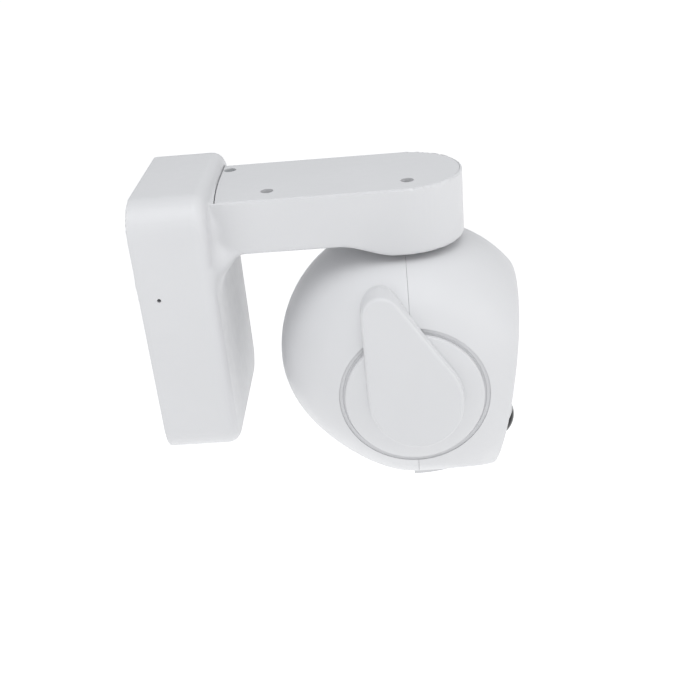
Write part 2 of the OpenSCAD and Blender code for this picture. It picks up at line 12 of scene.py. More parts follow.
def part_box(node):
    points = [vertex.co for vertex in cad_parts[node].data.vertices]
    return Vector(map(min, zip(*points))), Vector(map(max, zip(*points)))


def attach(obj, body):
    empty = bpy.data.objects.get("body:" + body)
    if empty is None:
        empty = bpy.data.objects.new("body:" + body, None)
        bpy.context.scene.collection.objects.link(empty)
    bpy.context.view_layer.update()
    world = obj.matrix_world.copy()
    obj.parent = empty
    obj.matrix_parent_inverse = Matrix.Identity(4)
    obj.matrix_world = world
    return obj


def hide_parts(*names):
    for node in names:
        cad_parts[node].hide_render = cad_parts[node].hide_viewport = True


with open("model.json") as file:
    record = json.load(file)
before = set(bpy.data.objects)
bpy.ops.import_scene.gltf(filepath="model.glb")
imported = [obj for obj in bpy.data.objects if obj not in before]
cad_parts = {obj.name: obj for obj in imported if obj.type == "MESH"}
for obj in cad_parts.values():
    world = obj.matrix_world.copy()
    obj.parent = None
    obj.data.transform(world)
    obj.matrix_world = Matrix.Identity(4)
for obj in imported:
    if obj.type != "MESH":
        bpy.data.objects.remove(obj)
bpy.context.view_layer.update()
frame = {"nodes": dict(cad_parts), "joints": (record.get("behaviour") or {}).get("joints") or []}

# Shapes are worked out in millimetres and turned into metres when a piece is made.
MM = 0.001


def cad_size(node):
    """Lowest and highest corner of a CAD node, in millimetres."""
    low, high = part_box(node)
    return low / MM, high / MM


joints = {j["name"]: j for j in frame["joints"]}
PAN_X = joints["head_pan"]["pos_m"][0] / MM
HEAD_Z = joints["lens_tilt"]["pos_m"][2] / MM
TILT_AXIS = Vector((PAN_X, 0, HEAD_Z))

housing_low, housing_high = cad_size("main_housing")
rear_low, rear_high = cad_size("head_rear_shell")
_, cover_high = cad_size("arm_cover")
_, cap_high = cad_size("side_cap")

# ------------------------------------------------------------------ wall box and arm: sizes in mm
BOX_W = 2 * housing_high.y
BOX_H = housing_high.z - housing_low.z
BOX_D = 29.4
BOX_R = 13
BOX_EDGE = 5
RIM_X = housing_low.x
RIM_EDGE = 0.8
WALL = 2.2
ARM_TOP = cover_high.z
ARM_HALF = housing_high.x - PAN_X
ARM_BOTTOM = ARM_TOP - 21
DRUM_BOTTOM = ARM_TOP - 26
# Between these two places the underside dips from the arm's to the drum's.
DIP_START = PAN_X - 25
DIP_END = PAN_X - 3
ARM_START = 12
ARM_TOP_EDGE = 0.5
ARM_LOW_EDGE = 1.2
# Fillet between box and arm: at the arm's top, added down its side, and added under it.
FILLET_TOP = 1.0
FILLET_SIDE = 3
FILLET_UNDER = 12
# Rim of the arm's top that stays round the inset cover.
LIP = 0.8
COVER_T = 2
COVER_GAP = 0.12
COVER_START = BOX_D + 0.2
# The cover's wall end lies this much further from the box at the near side than at SLANT_FROM.
COVER_SLANT = 2.0
SLANT_FROM = 10
SLANT_RUN = 34
SCREW_SPOTS = ((50.5, -13.3), (PAN_X + 2.5, -13), (32.8, 16.7))
RECESS_R = 2.5
RECESS_FLOOR = ARM_TOP - 4.5
BOSS_R = 3.3
BUSH_HOLE_R = 8.6
MIC_HOLE_R = 0.8
MIC_X, MIC_Z = 8.3, 16.6
INLET_X, INLET_Y = 12.5, -20
LOCK_X = 6
LOCK_HOLE_R = 2.6

# ------------------------------------------------------------------ head: sizes in mm
HEAD_REAR = PAN_X - rear_low.x
HEAD_SIDE = 55.3
HEAD_DOWN = 52.4
HEAD_FRONT = 38.8
HEAD_TOP = rear_high.z - HEAD_Z
FRONT_LEAN = math.radians(9)
# Sharpness of the head's edges; a higher power gives a smaller radius.
FRONT_EDGE = 85
SIDE_EDGE = 200
TOP_EDGE = 24
# The lower front, or jaw, reaches further ahead than the ball does, and its sides are flatter.
JAW_SLOPE = 0.75
JAW_WIDEN = 0.9
JAW_FLATTEN = 18
# The lower rear is drawn in by up to this share.
HEEL = 0.1
SHELL_T = 2.4
# Half of the gap between the two shells, in degrees about the tilt axis.
SEAM = 0.07
NECK_HOLE_R = 15.3
# Lens slot: half its width, and the angles about the tilt axis of its two ends, in degrees.
SLOT_HALF = 17.6
SLOT_UP = 20
SLOT_BACK = -142
CAP_FOOT = 3.4
DISC_R = cap_high.x - PAN_X - CAP_FOOT
DISC_EDGE = 0.9
DISC_HOLE_R = 28.9
# Dome of the side discs: its radius, how far out its top lies, and the flat under the antenna.
DOME_R = 58.6
DOME_APEX = 52.6
DOME_FLAT = 50.6
# How far out the shells' side face lies at the disc's opening, 0.3 mm inside the dome.
DISC_RIM_Y = math.sqrt((DOME_R - 0.3) ** 2 - DISC_HOLE_R ** 2) + DOME_APEX - DOME_R
SEAT_Y = 43.5
SEAT_BORE_R = 3.1
SEAT_FOOT_R = 30.4
SEAT_RING_R = 24
# Mesh columns of a shell from its side opening to the lens slot, and across the slot.
SIDE_STEPS = 50
MIDDLE_STEPS = 16

# ------------------------------------------------------------------ lens unit: sizes in mm
LENS_DOWN = math.radians(49)
LENS_HALF = 16.8
LENS_R = 40
BLOCK_R = 54.5
BLOCK_ANGLE = 43
BLOCK_TOP = 11.6
BLOCK_CORNER = 11
BLOCK_EDGE = 0.9
FLAT_X = 49.9
LENS_DOME_R = 10
LENS_SPHERE_R = 10.6
BEZEL_R = 11.2
WINDOW_Z = -16.8
SENSOR_HOLE_R = 1.4
SENSOR_Y, SENSOR_Z = 13.2, -9.5

# ------------------------------------------------------------------ antenna: sizes in mm
ANTENNA_LEAN = math.radians(18.5)
ANTENNA_LEN = 34
ANTENNA_BIG_R = 17.8
ANTENNA_TIP_R = 7.6
# Middle of the antenna's broad end, from the tilt axis.
ANTENNA_AHEAD = 0.4
ANTENNA_UP = 2.6
ANTENNA_EDGE = 1.3
ANTENNA_FACE = 54.1
ANTENNA_FACE_SLOPE = math.tan(math.radians(11.5))


# ------------------------------------------------------------------ camera, light and floor
def make_camera():
    """The photo's view, solved from the straight edges of the wall box and the arm."""
    spot = Vector((98.4, -381.2, 170.0)) * MM
    azimuth = math.radians(-3.47)
    elevation = math.radians(27.51)
    roll = math.radians(5.45)
    forward = Vector((
        math.sin(azimuth) * math.cos(elevation),
        math.cos(azimuth) * math.cos(elevation),
        -math.sin(elevation),
    ))
    level = Vector((math.cos(azimuth), -math.sin(azimuth), 0))
    upward = level.cross(forward)
    right = level * math.cos(roll) - upward * math.sin(roll)
    up = level * math.sin(roll) + upward * math.cos(roll)
    data = bpy.data.cameras.new("view")
    data.lens = 52.4
    data.sensor_width = 36
    data.clip_start = 0.01
    camera = bpy.data.objects.new("view", data)
    turn = Matrix((right, up, -forward)).transposed().to_4x4()
    camera.matrix_world = Matrix.Translation(spot) @ turn
    bpy.context.collection.objects.link(camera)
    bpy.context.scene.camera = camera


def area_light(name, place, target, size, power, color):
    data = bpy.data.lights.new(name, "AREA")
    data.shape = "RECTANGLE"
    data.size, data.size_y = size
    data.energy = power
    data.color = color
    light = bpy.data.objects.new(name, data)
    light.location = place
    light.rotation_euler = (Vector(target) - Vector(place)).to_track_quat("-Z", "Y").to_euler()
    bpy.context.collection.objects.link(light)


def make_light():
    """Three soft boxes and an even pale world."""
    world = bpy.data.worlds.new("studio")
    bpy.context.scene.world = world
    world.use_nodes = True
    background = world.node_tree.nodes["Background"]
    background.inputs["Color"].default_value = (0.97, 0.985, 1.0, 1)
    background.inputs["Strength"].default_value = 0.52
    centre = (0.08, 0, 0)
    area_light("softbox_left", (-0.55, -0.5, 0.3), centre, (0.6, 0.8), 1.2, (1, 1, 1))
    area_light("softbox_right", (0.75, -0.25, 0.28), centre, (0.5, 0.7), 1.5, (1, 0.99, 0.98))
    area_light("softbox_top", (0.1, -0.3, 0.85), centre, (1.0, 0.7), 4.0, (0.98, 0.99, 1))
    bpy.context.scene.view_settings.view_transform = "Standard"


def make_floor():
    """Pale floor far below the part, as bright as the photo's plain background."""
    bpy.ops.mesh.primitive_plane_add(size=14, location=(0, 0, -0.6))
    floor = bpy.context.object
    floor.name = "floor"
    paint = bpy.data.materials.new("pale_floor")
    paint.use_nodes = True
    shader = paint.node_tree.nodes["Principled BSDF"]
    shader.inputs["Base Color"].default_value = (0.9, 0.9, 0.9, 1)
    shader.inputs["Roughness"].default_value = 0.9
    shader.inputs["Emission Color"].default_value = (1, 1, 1, 1)
    shader.inputs["Emission Strength"].default_value = 0.58
    floor.data.materials.append(paint)


# ------------------------------------------------------------------ materials
def nodes_of(material):
    material.use_nodes = True
    tree = material.node_tree
    return tree, tree.nodes["Principled BSDF"]


def add(tree, kind, **values):
    """A shader node with its inputs, or its own settings, set by name."""
    node = tree.nodes.new(kind)
    for name, value in values.items():
        label = name.replace("_", " ")
        if label in node.inputs:
            node.inputs[label].default_value = value
        else:
            setattr(node, name, value)
    return node


def noise(tree, scale, detail=2.0, stretch=None):
    """Noise in the object's own space. scale is in features per metre."""
    coords = add(tree, "ShaderNodeTexCoord")
    texture = add(tree, "ShaderNodeTexNoise", Scale=scale, Detail=detail)
    source = coords.outputs["Object"]
    if stretch:
        mapping = add(tree, "ShaderNodeMapping")
        mapping.inputs["Scale"].default_value = stretch
        tree.links.new(source, mapping.inputs["Vector"])
        source = mapping.outputs["Vector"]
    tree.links.new(source, texture.inputs["Vector"])
    return texture.outputs["Fac"]


def remap(tree, value, low, high, start=0.35, end=0.65):
    """Carries the value's range from start to end over to low to high."""
    node = add(tree, "ShaderNodeMapRange")
    node.inputs["From Min"].default_value = start
    node.inputs["From Max"].default_value = end
    node.inputs["To Min"].default_value = low
    node.inputs["To Max"].default_value = high
    tree.links.new(value, node.inputs["Value"])
    return node.outputs["Result"]


# Places of the colour sockets in a Mix node, where the names A, B and Result each stand for several.
MIX_A, MIX_B, MIX_RESULT = 6, 7, 2


def mix_color(tree, factor, a, b):
    node = tree.nodes.new("ShaderNodeMix")
    node.data_type = "RGBA"
    node.inputs[MIX_A].default_value = (*a, 1)
    node.inputs[MIX_B].default_value = (*b, 1)
    tree.links.new(factor, node.inputs["Factor"])
    return node.outputs[MIX_RESULT]


def bump(tree, shader, height, depth_mm, edge_mm=0.0):
    """Fine relief, and edges that look rounded by edge_mm."""
    node = add(tree, "ShaderNodeBump", Strength=1.0, Distance=depth_mm * MM)
    tree.links.new(height, node.inputs["Height"])
    if edge_mm:
        rounding = add(tree, "ShaderNodeBevel", samples=4, Radius=edge_mm * MM)
        tree.links.new(rounding.outputs["Normal"], node.inputs["Normal"])
    tree.links.new(node.outputs["Normal"], shader.inputs["Normal"])


def edge_mask(tree):
    """1 on outer edges and 0 elsewhere, for wear."""
    geometry = add(tree, "ShaderNodeNewGeometry")
    return remap(tree, geometry.outputs["Pointiness"], 0, 1, 0.52, 0.62)


def moulded(name, color, roughness=0.42, grain_mm=0.006, variation=0.02, edge_mm=0.0):
    """Moulded plastic: fine spark grain, faint flow clouds, slightly rubbed edges."""
    material = bpy.data.materials.new(name)
    tree, shader = nodes_of(material)
    clouds = noise(tree, 38, 3)
    light = [min(1, c * (1 + variation)) for c in color]
    dark = [c * (1 - variation) for c in color]
    shade = mix_color(tree, remap(tree, clouds, 0, 1), dark, light)
    tree.links.new(shade, shader.inputs["Base Color"])
    rub = noise(tree, 260, 4)
    rough = add(tree, "ShaderNodeMath", operation="ADD")
    tree.links.new(remap(tree, rub, roughness - 0.05, roughness + 0.05), rough.inputs[0])
    tree.links.new(remap(tree, edge_mask(tree), 0, -0.06, 0, 1), rough.inputs[1])
    tree.links.new(rough.outputs[0], shader.inputs["Roughness"])
    bump(tree, shader, noise(tree, 2600, 2), grain_mm, edge_mm)
    return material


def polished(name, color, roughness=0.08, transmission=0.0, coat=0.0, edge_mm=0.0, gloss=0.5):
    """Gloss plastic or glass, with faint wipe marks in its roughness and a very slight ripple."""
    material = bpy.data.materials.new(name)
    tree, shader = nodes_of(material)
    tint = [min(1, c * 1.25 + 0.002) for c in color]
    shade = mix_color(tree, remap(tree, noise(tree, 60, 2), 0, 1), color, tint)
    tree.links.new(shade, shader.inputs["Base Color"])
    marks = noise(tree, 180, 5, stretch=(1, 4, 1))
    tree.links.new(remap(tree, marks, roughness, roughness + 0.06), shader.inputs["Roughness"])
    shader.inputs["Transmission Weight"].default_value = transmission
    shader.inputs["Coat Weight"].default_value = coat
    shader.inputs["Specular IOR Level"].default_value = gloss
    bump(tree, shader, noise(tree, 120, 1), 0.004, edge_mm)
    return material


def metal(name, color, roughness=0.32, stretch=(1, 1, 30), edge_mm=0.15):
    """Satin metal with fine drawn lines, patchy plating and brighter edges."""
    material = bpy.data.materials.new(name)
    tree, shader = nodes_of(material)
    shader.inputs["Metallic"].default_value = 1
    dark = [c * 0.86 for c in color]
    shade = mix_color(tree, remap(tree, noise(tree, 150, 4), 0, 1), dark, color)
    tree.links.new(shade, shader.inputs["Base Color"])
    lines = noise(tree, 900, 3, stretch=stretch)
    tree.links.new(remap(tree, lines, roughness - 0.08, roughness + 0.1), shader.inputs["Roughness"])
    bump(tree, shader, lines, 0.004, edge_mm)
    return material


def board_mask(name):
    """Printed circuit board: solder mask with faint copper tracks under it."""
    material = bpy.data.materials.new(name)
    tree, shader = nodes_of(material)
    coords = add(tree, "ShaderNodeTexCoord")
    tracks = add(tree, "ShaderNodeTexBrick", Scale=180.0, Mortar_Size=0.03)
    tracks.inputs["Color1"].default_value = (0.012, 0.10, 0.045, 1)
    tracks.inputs["Color2"].default_value = (0.014, 0.085, 0.04, 1)
    tracks.inputs["Mortar"].default_value = (0.03, 0.20, 0.09, 1)
    tree.links.new(coords.outputs["Object"], tracks.inputs["Vector"])
    tree.links.new(tracks.outputs["Color"], shader.inputs["Base Color"])
    tree.links.new(remap(tree, noise(tree, 400, 2), 0.25, 0.4), shader.inputs["Roughness"])
    bump(tree, shader, tracks.outputs["Fac"], 0.02, 0.1)
    return material


def mesh_cloth(name):
    """Woven dust cloth over the microphone."""
    material = bpy.data.materials.new(name)
    tree, shader = nodes_of(material)
    coords = add(tree, "ShaderNodeTexCoord")
    weave = add(tree, "ShaderNodeTexChecker", Scale=9000.0)
    tree.links.new(coords.outputs["Object"], weave.inputs["Vector"])
    shade = mix_color(tree, weave.outputs["Fac"], (0.01, 0.01, 0.01), (0.03, 0.03, 0.03))
    tree.links.new(shade, shader.inputs["Base Color"])
    tree.links.new(remap(tree, noise(tree, 800, 2), 0.8, 0.95), shader.inputs["Roughness"])
    bump(tree, shader, weave.outputs["Fac"], 0.02)
    return material


WHITE = (0.675, 0.677, 0.69)
NYLON = (0.72, 0.70, 0.62)


def make_materials():
    return {
        "white": moulded("white_satin_plastic", WHITE, 0.40, grain_mm=0.006, variation=0.008),
        "white_cad": moulded("white_plastic_inner", WHITE, 0.45, variation=0.02, edge_mm=0.3),
        "gloss_white": moulded("white_smooth_plastic", WHITE, 0.30, grain_mm=0.002, variation=0.008),
        "grey": moulded("grey_plastic", (0.30, 0.31, 0.32), 0.5, grain_mm=0.01, edge_mm=0.25),
        "seat": moulded("groove_plastic", WHITE, 0.45, edge_mm=0.2),
        "cap": moulded("cap_plastic", (0.26, 0.27, 0.28), 0.6, grain_mm=0.02, edge_mm=0.2),
        "black": moulded("black_plastic", (0.012, 0.012, 0.013), 0.5, grain_mm=0.01, edge_mm=0.2),
        "nylon": moulded("natural_acetal", NYLON, 0.38, grain_mm=0.004, variation=0.03, edge_mm=0.12),
        "bezel": polished("gloss_black_bezel", (0.004, 0.004, 0.005), 0.16, gloss=0.12),
        "window": polished("smoked_window", (0.006, 0.005, 0.007), 0.06, coat=0.8, edge_mm=0.2),
        "dome": polished("smoked_dome", (0.003, 0.003, 0.004), 0.05, gloss=0.12),
        "glass": polished("coated_glass", (0.30, 0.22, 0.45), 0.03, transmission=0.7, coat=1.0),
        "led": polished("clear_epoxy", (0.6, 0.62, 0.66), 0.08, transmission=0.8),
        "steel": metal("zinc_plated_steel", (0.62, 0.63, 0.65)),
        "plate": metal("brushed_steel_plate", (0.60, 0.61, 0.62), 0.38, stretch=(1, 40, 1), edge_mm=0.4),
        "screw": metal("dark_zinc_screw", (0.20, 0.20, 0.21), 0.36, edge_mm=0.08),
        "spring": metal("spring_steel", (0.42, 0.42, 0.44), 0.28),
        "copper": metal("copper_foil", (0.80, 0.47, 0.30), 0.3, stretch=(1, 1, 1), edge_mm=0.05),
        "ribbon": polished("polyimide_ribbon", (0.42, 0.20, 0.03), 0.22),
        "board": board_mask("solder_mask"),
        "cloth": mesh_cloth("microphone_cloth"),
    }


# ------------------------------------------------------------------ mesh helpers
def new_piece(name, points, faces):
    """A mesh object in millimetres; finish_piece turns it into metres."""
    mesh = bpy.data.meshes.new(name)
    mesh.from_pydata([tuple(p) for p in points], [], [tuple(f) for f in faces])
    mesh.validate()
    piece = bpy.data.objects.new(name, mesh)
    bpy.context.collection.objects.link(piece)
    return piece


def merge_close(piece, distance=0.002):
    """Joins points that lie together and makes the normals point outwards."""
    work = bmesh.new()
    work.from_mesh(piece.data)
    bmesh.ops.remove_doubles(work, verts=work.verts, dist=distance)
    bmesh.ops.dissolve_degenerate(work, dist=distance / 2, edges=work.edges)
    bmesh.ops.recalc_face_normals(work, faces=work.faces)
    work.to_mesh(piece.data)
    work.free()


def drop_loose_points(piece):
    """Deletes points that no face uses, then makes the normals point outwards."""
    work = bmesh.new()
    work.from_mesh(piece.data)
    bmesh.ops.delete(work, geom=[v for v in work.verts if not v.link_faces], context="VERTS")
    bmesh.ops.recalc_face_normals(work, faces=work.faces)
    work.to_mesh(piece.data)
    work.free()


def apply_modifiers(piece):
    graph = bpy.context.evaluated_depsgraph_get()
    mesh = bpy.data.meshes.new_from_object(piece.evaluated_get(graph))
    piece.modifiers.clear()
    old = piece.data
    piece.data = mesh
    bpy.data.meshes.remove(old)


def bevel(piece, width, segments=3, angle=35):
    """Rounds the edges that are sharper than the angle."""
    modifier = piece.modifiers.new("edges", "BEVEL")
    modifier.width = width
    modifier.segments = segments
    modifier.limit_method = "ANGLE"
    modifier.angle_limit = math.radians(angle)
    modifier.use_clamp_overlap = True
    apply_modifiers(piece)


def cut(piece, *cutters):
    """Takes each cutter away from the piece."""
    for cutter in cutters:
        modifier = piece.modifiers.new("cut", "BOOLEAN")
        modifier.operation = "DIFFERENCE"
        modifier.solver = "EXACT"
        modifier.object = cutter
        apply_modifiers(piece)
        bpy.data.objects.remove(cutter)


def fuse(piece, *others):
    """Adds each of the others to the piece."""
    for other in others:
        modifier = piece.modifiers.new("fuse", "BOOLEAN")
        modifier.operation = "UNION"
        modifier.solver = "EXACT"
        modifier.object = other
        apply_modifiers(piece)
        bpy.data.objects.remove(other)


def join_pieces(name, parts):
    """One object that holds the meshes of all the parts, side by side."""
    work = bmesh.new()
    for part in parts:
        work.from_mesh(part.data)
        bpy.data.objects.remove(part)
    mesh = bpy.data.meshes.new(name)
    work.to_mesh(mesh)
    work.free()
    piece = bpy.data.objects.new(name, mesh)
    bpy.context.collection.objects.link(piece)
    return piece


def finish_piece(piece, body, material, node, angle=38, flat=False):
    """Turns the piece into metres, shades it, and puts it on its body in place of the CAD node.

    flat keeps large flat faces evenly shaded up to their rounded edges.
    """
    mesh = piece.data
    mesh.transform(Matrix.Scale(MM, 4))
    mesh.materials.clear()
    mesh.materials.append(materials[material])
    for polygon in mesh.polygons:
        polygon.material_index = 0
    mesh.shade_smooth()
    mesh.set_sharp_from_angle(angle=math.radians(angle))
    if flat:
        modifier = piece.modifiers.new("normals", "WEIGHTED_NORMAL")
        modifier.keep_sharp = True
        apply_modifiers(piece)
    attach(piece, body)
    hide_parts(node)


def prism(name, outline, low, high):
    """Closed solid with the outline [(x, y), ...] from z = low to z = high."""
    n = len(outline)
    points = [(x, y, z) for z in (low, high) for x, y in outline]
    faces = [(i, (i + 1) % n, n + (i + 1) % n, n + i) for i in range(n)]
    faces += [tuple(reversed(range(n))), tuple(range(n, 2 * n))]
    return new_piece(name, points, faces)


def turned(name, profile, segments=96):
    """Closed solid about Z, turned from its profile [(radius, z), ...], whose ends lie on the axis."""
    points, rings = [], []
    for radius, z in profile:
        if radius < 1e-6:
            rings.append([len(points)] * segments)
            points.append((0, 0, z))
            continue
        rings.append([len(points) + i for i in range(segments)])
        for i in range(segments):
            a = 2 * math.pi * i / segments
            points.append((radius * math.cos(a), radius * math.sin(a), z))
    faces = []
    for a, b in zip(rings, rings[1:]):
        for i in range(segments):
            j = (i + 1) % segments
            corners = dict.fromkeys((a[i], a[j], b[j], b[i]))
            if len(corners) > 2:
                faces.append(tuple(corners))
    piece = new_piece(name, points, faces)
    merge_close(piece)
    return piece


def ring(name, profile, segments=96):
    """Closed ring about Z from a closed profile [(radius, z), ...]."""
    n = len(profile)
    points = [
        (r * math.cos(a), r * math.sin(a), z)
        for a in (2 * math.pi * i / segments for i in range(segments))
        for r, z in profile
    ]
    faces = []
    for i in range(segments):
        here, ahead = i * n, (i + 1) % segments * n
        faces += [(here + k, ahead + k, ahead + (k + 1) % n, here + (k + 1) % n) for k in range(n)]
    piece = new_piece(name, points, faces)
    merge_close(piece)
    return piece


def arc(centre, radius, start, end, steps):
    """Points on an arc, angles in degrees, both ends included."""
    return [
        (centre[0] + radius * math.cos(a), centre[1] + radius * math.sin(a))
        for a in (math.radians(start + (end - start) * i / steps) for i in range(steps + 1))
    ]


def rounded_rectangle(width, height, radius, steps=8):
    points = []
    for k, (sx, sy) in enumerate(((1, 1), (-1, 1), (-1, -1), (1, -1))):
        centre = (sx * (width / 2 - radius), sy * (height / 2 - radius))
        points += arc(centre, radius, 90 * k, 90 * k + 90, steps)
    return points


def place(piece, matrix):
    piece.data.transform(matrix)
    return piece


def moved(x, y, z):
    return Matrix.Translation((x, y, z))


def turn_z_to(direction):
    """Rotation that carries +Z to the direction."""
    return Vector(direction).to_track_quat("Z", "Y").to_matrix().to_4x4()


def rod(x, y, low, high, radius, segments=64):
    """Upright cylinder, for cutting and fusing."""
    circle = arc((0, 0), radius, 0, 360 - 360 / segments, segments - 1)
    return place(prism("cutter", circle, low, high), moved(x, y, 0))


# ------------------------------------------------------------------ skins of rounded moulded forms
def round_meet(a, b, radius):
    """Overlap of two fields, with its edge rounded."""
    return np.minimum(-radius, np.maximum(a, b)) + np.hypot(
        np.maximum(radius + a, 0), np.maximum(radius + b, 0))


def round_join(a, b, radius):
    """Sum of two fields, with a fillet in the corner."""
    return np.maximum(radius, np.minimum(a, b)) - np.hypot(
        np.maximum(radius - a, 0), np.maximum(radius - b, 0))


def ramp(value):
    """Smooth step from 0 to 1."""
    s = np.clip(value, 0, 1)
    return s * s * (3 - 2 * s)


def crossings(depth, cells):
    """Mean place, in cells, where each cell's edges cross the surface."""
    total = np.zeros((len(cells), 3))
    hits = np.zeros(len(cells))
    for axis in range(3):
        step = np.eye(3, dtype=int)[axis]
        for sides in product((0, 1), repeat=2):
            offset = np.insert(sides, axis, 0)
            start = cells + offset
            end = start + step
            a = depth[tuple(start.T)]
            b = depth[tuple(end.T)]
            crossed = (a < 0) != (b < 0)
            along = np.where(crossed, a / np.where(crossed, a - b, 1), 0)
            total[crossed] += (start + along[:, None] * step)[crossed]
            hits += crossed
    return total / hits[:, None]


def skin(name, field, low, high, cell):
    """Quad mesh of the surface where field(x, y, z) is zero; the field is negative inside."""
    axes = [np.arange(a, b + cell, cell) for a, b in zip(low, high)]
    depth = field(*np.meshgrid(*axes, indexing="ij"))
    inside = depth < 0
    nx, ny, nz = (n - 1 for n in depth.shape)
    filled = sum(
        inside[i:i + nx, j:j + ny, k:k + nz].astype(np.int8) for i, j, k in product((0, 1), repeat=3))
    active = (filled > 0) & (filled < 8)
    cells = np.argwhere(active)
    number = np.full(active.shape, -1)
    number[active] = np.arange(len(cells))
    points = np.array(low) + cell * crossings(depth, cells)
    h = cell * 0.05
    for _ in range(3):
        value = field(*points.T)
        slope = np.stack([
            field(*(points + h * e).T) - field(*(points - h * e).T) for e in np.eye(3)], 1) / (2 * h)
        points -= slope * (value / np.maximum((slope ** 2).sum(1), 0.1))[:, None]
    faces = []
    for axis in range(3):
        u, v = (axis + 1) % 3, (axis + 2) % 3
        step = np.eye(3, dtype=int)
        inner = tuple(slice(1, -1) if k != axis else slice(0, -1) for k in range(3))
        here = inside[inner]
        ahead_slice = tuple(slice(1, -1) if k != axis else slice(1, None) for k in range(3))
        ahead = inside[ahead_slice]
        for outward, hit in ((True, here & ~ahead), (False, ~here & ahead)):
            spots = np.argwhere(hit)
            spots[:, u] += 1
            spots[:, v] += 1
            loop = [spots - step[u] - step[v], spots - step[v], spots, spots - step[u]]
            corners = np.stack([number[tuple(c.T)] for c in loop], 1)
            faces.append(corners if outward else corners[:, ::-1])
    return new_piece(name, points, np.concatenate(faces))


# ------------------------------------------------------------------ wall box, arm and drum
def box_outline(y, z):
    """Distance from the wall box's rounded outline, seen from the front."""
    across = np.abs(y) - (BOX_W / 2 - BOX_R)
    up = np.abs(z) - (BOX_H / 2 - BOX_R)
    corner = np.hypot(np.maximum(across, 0), np.maximum(up, 0))
    return corner + np.minimum(np.maximum(across, up), 0) - BOX_R


def arm_outline(x, y):
    """Distance from the outline of arm and drum, seen from above."""
    return np.where(x < PAN_X, np.abs(y), np.hypot(x - PAN_X, y)) - ARM_HALF


def housing_field(x, y, z):
    """Wall box, arm and drum as one form; the drum hangs lower than the arm."""
    box = round_meet(box_outline(y, z), x - BOX_D, BOX_EDGE)
    box = round_meet(box, RIM_X - x, RIM_EDGE)
    dip = (ARM_BOTTOM - DRUM_BOTTOM) * ramp((x - DIP_START) / (DIP_END - DIP_START))
    arm = round_meet(arm_outline(x, y), ARM_BOTTOM - dip - z, ARM_LOW_EDGE)
    arm = round_meet(arm, z - ARM_TOP, ARM_TOP_EDGE)
    arm = np.maximum(arm, ARM_START - x)
    down_side = ramp((ARM_TOP - z) / 10)
    under_arm = ramp((ARM_BOTTOM + 7 - z) / 12)
    fillet = FILLET_TOP + FILLET_SIDE * down_side + FILLET_UNDER * under_arm
    return round_join(box, arm, fillet)


def arm_plan(half, start, slant):
    """Outline of the arm from above; its wall end curves away from the box towards the near side."""
    end = []
    for i in range(13):
        y = half * (1 - i / 6)
        along = min(1, max(0, (SLANT_FROM - y) / SLANT_RUN))
        end.append((start + slant * along ** 2, y))
    return arc((PAN_X, 0), half, -90, 90, 48) + end


def make_main_housing():
    """The white moulding of box, arm and drum, hollowed, with its small holes cut through."""
    margin = 3
    low = (RIM_X - margin, -BOX_W / 2 - margin, -BOX_H / 2 - margin)
    high = (PAN_X + ARM_HALF + margin, BOX_W / 2 + margin, BOX_H / 2 + margin)
    piece = skin("main_housing_moulding", housing_field, low, high, 1.0)
    inner = rounded_rectangle(BOX_W - 2 * WALL, BOX_H - 2 * WALL, BOX_R - WALL)
    hollow = prism("cutter", inner, -3, BOX_D - WALL)
    stand = Matrix(((0, 0, 1, 0), (1, 0, 0, 0), (0, 1, 0, 0), (0, 0, 0, 1)))
    place(hollow, stand)
    cover_bed = arm_plan(ARM_HALF - LIP, COVER_START - 0.1, COVER_SLANT)
    pocket = prism("cutter", cover_bed, ARM_TOP - COVER_T, ARM_TOP + 9)
    inside = arm_plan(ARM_HALF - WALL, COVER_START + 1, 0)
    channel = prism("cutter", inside, ARM_BOTTOM + WALL, ARM_TOP - 1)
    bush_hole = rod(PAN_X, 0, DRUM_BOTTOM - 2, ARM_BOTTOM + 5, BUSH_HOLE_R)
    cut(piece, hollow, pocket, channel, bush_hole)
    to_near_side = moved(MIC_X, -BOX_W / 2, MIC_Z) @ turn_z_to((0, -1, 0))
    mic = place(rod(0, 0, -4, 4, MIC_HOLE_R, 24), to_near_side)
    inlet = prism("cutter", rounded_rectangle(3.4, 9.2, 1.6), -4, 4)
    place(inlet, moved(INLET_X, INLET_Y, -BOX_H / 2))
    lock = rod(LOCK_X, 0, -BOX_H / 2 - 2, -BOX_H / 2 + 4, LOCK_HOLE_R, 32)
    cut(piece, mic, inlet, lock)
    finish_piece(piece, "wall_mount", "white", "main_housing", flat=True)


def make_arm_cover():
    """Flat plate let into the arm's top, with a boss and an open recess for each screw."""
    outline = arm_plan(ARM_HALF - LIP - COVER_GAP, COVER_START + 0.25, COVER_SLANT)
    piece = prism("arm_cover_plate", outline, ARM_TOP - COVER_T, ARM_TOP)
    bevel(piece, 0.3)
    for x, y in SCREW_SPOTS:
        fuse(piece, rod(x, y, ARM_TOP - 5.5, ARM_TOP - 1, BOSS_R, 48))
        recess = rod(x, y, RECESS_FLOOR, ARM_TOP + 1, RECESS_R, 48)
        cut(piece, recess, rod(x, y, ARM_TOP - 7, ARM_TOP, 1.3, 24))
    bevel(piece, 0.15, 2, 60)
    finish_piece(piece, "wall_mount", "white", "arm_cover", flat=True)


